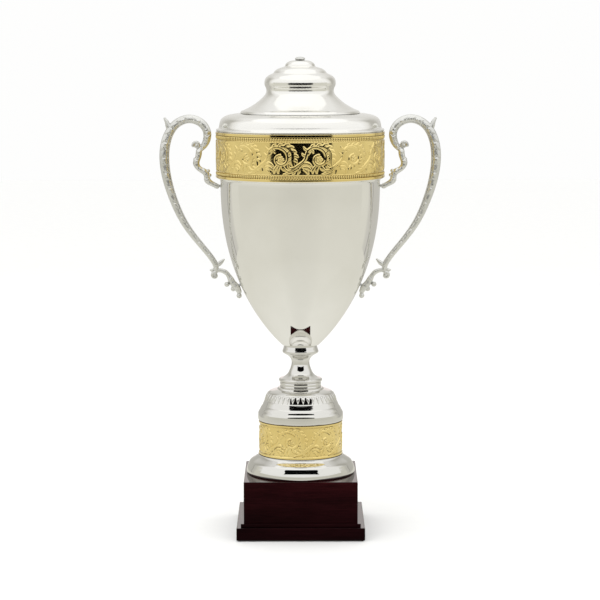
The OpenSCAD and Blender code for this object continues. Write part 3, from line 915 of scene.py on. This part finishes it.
def disc(radius, z):
    """Points and the one face of a level disc round the axis."""
    last_deg = 360 - 360 / WALL_STEPS
    return round_wall(radius, z, z, 0, last_deg)[0][:WALL_STEPS], [list(range(WALL_STEPS))]


def flat_mesh(name, points, faces, material):
    """An object that is part of the stage."""
    mesh = bpy.data.meshes.new(name)
    mesh.from_pydata(points, [], faces)
    mesh.materials.append(material)
    obj = show(name, mesh)
    return obj


def tent_part(name, shape, paint):
    """Part of the light tent round the cup, in one colour or painted by a function.

    Only the polished metal sees it.
    """
    n = Nodes(name)
    glow = paint(n) if callable(paint) else paint
    n.set(Base_Color=(0, 0, 0, 1), Specular_IOR_Level=0.0, Emission_Strength=1.0, Emission_Color=glow)
    obj = flat_mesh(name, *shape, n.material)
    obj.visible_camera = False
    obj.visible_diffuse = False
    obj.visible_shadow = False


def behind(n):
    """How far round to the back a point is: -1 in front of the cup, 1 behind it."""
    flat, far = n.from_axis()
    y = n.add("ShaderNodeSeparateXYZ", {"Vector": flat}).outputs["Y"]
    return n.add("ShaderNodeMath", {0: y, 1: far}, operation="DIVIDE").outputs[0]


def sweep_paint(n):
    """Table and front of the tent: brightest round the cup, a little darker straight ahead."""
    ahead = n.scaled(behind(n), -1.0, -0.80, 0.95, 1.0)
    out = n.scaled(n.from_axis()[1], 0.0, SWEEP_R)
    near = n.blend(out, (0.0, (0.86, 0.855, 0.80)), (0.18, (0.75, 0.74, 0.67)), (1.0, (0.70, 0.69, 0.62)))
    return n.add("ShaderNodeVectorMath", {0: near, 1: ahead}, operation="MULTIPLY").outputs["Vector"]


def back_paint(n):
    """Grey back of the tent: a dark seam low down, soft white ends high up, and lighter at its top."""
    turn = behind(n)
    warm = (1.0, 0.93, 0.91)
    seam = (0.22, 0.21, 0.20)
    low = n.blend(turn, (0.36, (0.74, 0.73, 0.66)), (0.44, (0.64, 0.63, 0.58)), (0.575, (0.60, 0.59, 0.55)),
                  (0.580, seam), (0.592, seam), (0.597, (0.58, 0.57, 0.53)), (0.975, (0.56, 0.55, 0.51)),
                  (0.985, warm), (1.0, warm))
    high = n.blend(turn, (0.10, WHITE), (0.34, (0.86, 0.85, 0.82)), (0.50, (0.50, 0.49, 0.45)),
                   (0.70, (0.53, 0.52, 0.48)), (0.88, (0.68, 0.67, 0.64)), (1.0, (0.78, 0.77, 0.74)))
    top = n.blend(turn, (0.10, WHITE), (0.5, (0.86, 0.85, 0.83)), (1.0, (0.92, 0.92, 0.91)))
    z = n.height()
    lower = n.mix(n.scaled(z, 0.40, 0.52), low, high)
    return n.mix(n.scaled(z, 0.95, 1.40), lower, top)


def pale_floor():
    """The plain floor, which reflections don't show: the polished metal sees the tent's table instead."""
    n = Nodes("pale_floor")
    speck = n.noise(n.position, 40, 4)
    colour = n.blend(speck, (0.3, (0.935, 0.935, 0.93)), (0.7, (0.955, 0.955, 0.95)))
    n.set(Base_Color=colour, Roughness=0.9)
    corners = [(x * FLOOR_HALF, y * FLOOR_HALF, 0) for x, y in ((-1, -1), (1, -1), (1, 1), (-1, 1))]
    obj = flat_mesh("floor", corners, [[0, 1, 2, 3]], n.material)
    obj.visible_glossy = False


def softbox(name, at, aim, size, power):
    """A round area light that reflections don't show."""
    light = bpy.data.lights.new(name, "AREA")
    light.shape = "DISK"
    light.size = size
    light.energy = power
    obj = show(name, light)
    obj.location = at
    obj.rotation_euler = (Vector(aim) - Vector(at)).to_track_quat("-Z", "Y").to_euler()
    obj.visible_camera = False
    obj.visible_glossy = False


def pale_sky():
    """World light, a little brighter from above than from the sides."""
    world = bpy.data.worlds.new("tent")
    bpy.context.scene.world = world
    world.use_nodes = True
    nodes, links = world.node_tree.nodes, world.node_tree.links
    direction = nodes.new("ShaderNodeTexCoord").outputs["Generated"]
    height = nodes.new("ShaderNodeSeparateXYZ")
    ramp = nodes.new("ShaderNodeValToRGB")
    side, above = ramp.color_ramp.elements
    side.position, side.color = 0.0, (0.99, 0.99, 0.985, 1)
    above.position, above.color = 0.55, (1.05, 1.05, 1.04, 1)
    links.new(direction, height.inputs["Vector"])
    links.new(height.outputs["Z"], ramp.inputs["Fac"])
    links.new(ramp.outputs["Color"], nodes["Background"].inputs["Color"])


pale_floor()
tent_part("tent_table", disc(SWEEP_R, UNDER_FLOOR), sweep_paint)
tent_part("tent_front", round_wall(SWEEP_R, UNDER_FLOOR, SWEEP_TOP, 0, 360), sweep_paint)
tent_part("tent_back", round_wall(BACK_R, 0.0, BACK_TOP, *BACK_DEG), back_paint)
tent_part("tent_ceiling", disc(CARD_R, CARD_Z), WHITE_PAINT)
slot_corners = [(SLOT_LEFT, SLOT_Y, SLOT_LOW), (SLOT_RIGHT, SLOT_Y, SLOT_LOW),
                (SLOT_RIGHT, SLOT_Y, SLOT_TOP), (SLOT_LEFT, SLOT_Y, SLOT_TOP)]
tent_part("tent_slot", (slot_corners, [[0, 1, 2, 3]]), BLACK_PAINT)
softbox("softbox_top", at=(-0.3, -0.5, 1.9), aim=(0, 0, 0.2), size=1.4, power=9)
pale_sky()


# ---- Camera ----

PITCH = math.radians(6.83)
ROLL = math.radians(0.09)
DISTANCE = 2.52
AIM = Vector((0, 0, 0.260))
camera_data = bpy.data.cameras.new("camera")
camera_data.lens = 135
camera_data.sensor_width = 36
camera = show("camera", camera_data)
camera.location = AIM + DISTANCE * Vector((0, -math.cos(PITCH), math.sin(PITCH)))
camera.rotation_euler = (math.pi / 2 - PITCH, ROLL, 0)
bpy.context.scene.camera = camera
bpy.context.scene.view_settings.view_transform = "Standard"
